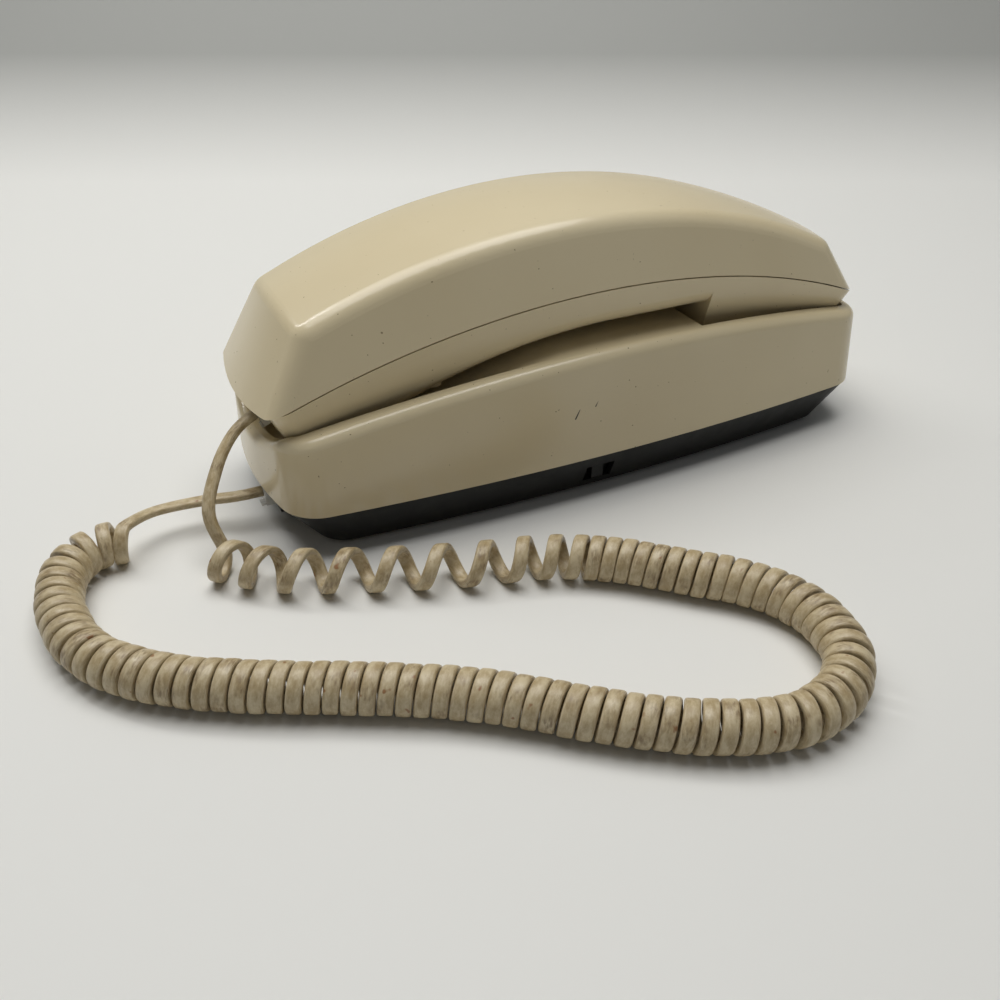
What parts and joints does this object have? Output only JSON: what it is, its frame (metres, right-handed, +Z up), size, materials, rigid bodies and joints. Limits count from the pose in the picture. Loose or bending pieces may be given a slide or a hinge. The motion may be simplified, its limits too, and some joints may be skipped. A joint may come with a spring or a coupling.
{
  "type": "slimline telephone",
  "caption": "Cream slimline telephone: an arched handset with the keys in its grip lies face down on a long two-colour base, with a curly cord.",
  "frame": {"origin": "middle of the base's outline, on the plane of its feet", "axes": "+X along the phone towards the ear end, +Z up, the cords leave at the -X end"},
  "size_m": [0.2826, 0.1976, 0.088],
  "materials": {
    "cream_shell": "satin",
    "cream_keys": "satin",
    "black_shell": "matte",
    "black_rubber": "matte",
    "clear_plastic": "clear, glossy",
    "cream_cord": "satin",
    "steel": "plated",
    "dark_metal": "satin",
    "contact_metal": "plain",
    "bell_metal": "polished",
    "copper_winding": "varnished wire",
    "board": "matte",
    "card": "paper",
    "foam": "soft foam"
  },
  "bodies": {
    "base": {"base_housing": "cream_shell", "bottom_pan": "black_shell", "rubber_feet": "black_rubber", "pan_screws": "steel", "number_card": "card", "card_window": "clear_plastic", "wall_tab": "cream_shell", "hook_switch_plate": "black_shell", "hook_contacts": "contact_metal", "hook_spring": "steel", "network_board": "board", "network_transformer": "dark_metal", "network_capacitors": "dark_metal", "ringer_gong": "bell_metal", "gong_screw": "steel", "ringer_frame": "steel", "ringer_coil": "copper_winding", "ringer_core": "steel", "cord_jack": "black_shell", "line_jack": "black_shell", "base_plug": "clear_plastic", "handset_lead": "cream_cord", "base_lead": "cream_cord", "curly_cord": "cream_cord"},
    "handset": {"handset_back": "cream_shell", "handset_face": "cream_shell", "handset_screws": "steel", "handset_jack": "black_shell", "handset_plug": "clear_plastic", "key_mat": "black_rubber", "key_board": "board", "receiver_gasket": "foam", "receiver_capsule": "dark_metal", "microphone_gasket": "foam", "microphone_capsule": "dark_metal"},
    "hook_plunger": {"hook_plunger": "clear_plastic"},
    "loudness_slider": {"loudness_slider": "black_shell"},
    "ringer_armature": {"ringer_armature": "steel"},
    "key_1": {"key_1": "cream_keys"},
    "key_2": {"key_2": "cream_keys"},
    "key_3": {"key_3": "cream_keys"},
    "key_4": {"key_4": "cream_keys"},
    "key_5": {"key_5": "cream_keys"},
    "key_6": {"key_6": "cream_keys"},
    "key_7": {"key_7": "cream_keys"},
    "key_8": {"key_8": "cream_keys"},
    "key_9": {"key_9": "cream_keys"},
    "key_star": {"key_star": "cream_keys"},
    "key_0": {"key_0": "cream_keys"},
    "key_hash": {"key_hash": "cream_keys"},
    "redial_key": {"redial_key": "cream_keys"},
    "flash_key": {"flash_key": "cream_keys"}
  },
  "joints": [
    {"name": "handset_lift", "type": "slide", "parent": "base", "child": "handset", "axis": [0, 0, 1], "range_m": [0, 0.06]},
    {"name": "hook_plunger_slide", "type": "slide", "parent": "base", "child": "hook_plunger", "axis": [0, 0, 1], "range_m": [0, 0.003], "deforming": ["hook_spring"]},
    {"name": "loudness_slide", "type": "slide", "parent": "base", "child": "loudness_slider", "axis": [1, 0, 0], "range_m": [-0.0026, 0.0026]},
    {"name": "clapper_swing", "type": "hinge", "parent": "base", "child": "ringer_armature", "pos_m": [0.02, 0.012, 0.0146], "axis": [0, 0, 1], "range_deg": [-1.5, 1.5]},
    {"name": "key_1_press", "type": "slide", "parent": "handset", "child": "key_1", "axis": [-0.125, 0, 0.9922], "range_m": [0, 0.0012], "stiffness_N_per_m": 150},
    {"name": "key_2_press", "type": "slide", "parent": "handset", "child": "key_2", "axis": [-0.125, 0, 0.9922], "range_m": [0, 0.0012], "stiffness_N_per_m": 150},
    {"name": "key_3_press", "type": "slide", "parent": "handset", "child": "key_3", "axis": [-0.125, 0, 0.9922], "range_m": [0, 0.0012], "stiffness_N_per_m": 150},
    {"name": "key_4_press", "type": "slide", "parent": "handset", "child": "key_4", "axis": [-0.125, 0, 0.9922], "range_m": [0, 0.0012], "stiffness_N_per_m": 150},
    {"name": "key_5_press", "type": "slide", "parent": "handset", "child": "key_5", "axis": [-0.125, 0, 0.9922], "range_m": [0, 0.0012], "stiffness_N_per_m": 150},
    {"name": "key_6_press", "type": "slide", "parent": "handset", "child": "key_6", "axis": [-0.125, 0, 0.9922], "range_m": [0, 0.0012], "stiffness_N_per_m": 150},
    {"name": "key_7_press", "type": "slide", "parent": "handset", "child": "key_7", "axis": [-0.125, 0, 0.9922], "range_m": [0, 0.0012], "stiffness_N_per_m": 150},
    {"name": "key_8_press", "type": "slide", "parent": "handset", "child": "key_8", "axis": [-0.125, 0, 0.9922], "range_m": [0, 0.0012], "stiffness_N_per_m": 150},
    {"name": "key_9_press", "type": "slide", "parent": "handset", "child": "key_9", "axis": [-0.125, 0, 0.9922], "range_m": [0, 0.0012], "stiffness_N_per_m": 150},
    {"name": "key_star_press", "type": "slide", "parent": "handset", "child": "key_star", "axis": [-0.125, 0, 0.9922], "range_m": [0, 0.0012], "stiffness_N_per_m": 150},
    {"name": "key_0_press", "type": "slide", "parent": "handset", "child": "key_0", "axis": [-0.125, 0, 0.9922], "range_m": [0, 0.0012], "stiffness_N_per_m": 150},
    {"name": "key_hash_press", "type": "slide", "parent": "handset", "child": "key_hash", "axis": [-0.125, 0, 0.9922], "range_m": [0, 0.0012], "stiffness_N_per_m": 150},
    {"name": "redial_key_press", "type": "slide", "parent": "handset", "child": "redial_key", "axis": [-0.125, 0, 0.9922], "range_m": [0, 0.0012], "stiffness_N_per_m": 150},
    {"name": "flash_key_press", "type": "slide", "parent": "handset", "child": "flash_key", "axis": [-0.125, 0, 0.9922], "range_m": [0, 0.0012], "stiffness_N_per_m": 150}
  ],
  "couplings": [
    {"joint": "hook_plunger_slide", "follows": "handset_lift", "ratio": 0.05}
  ]
}
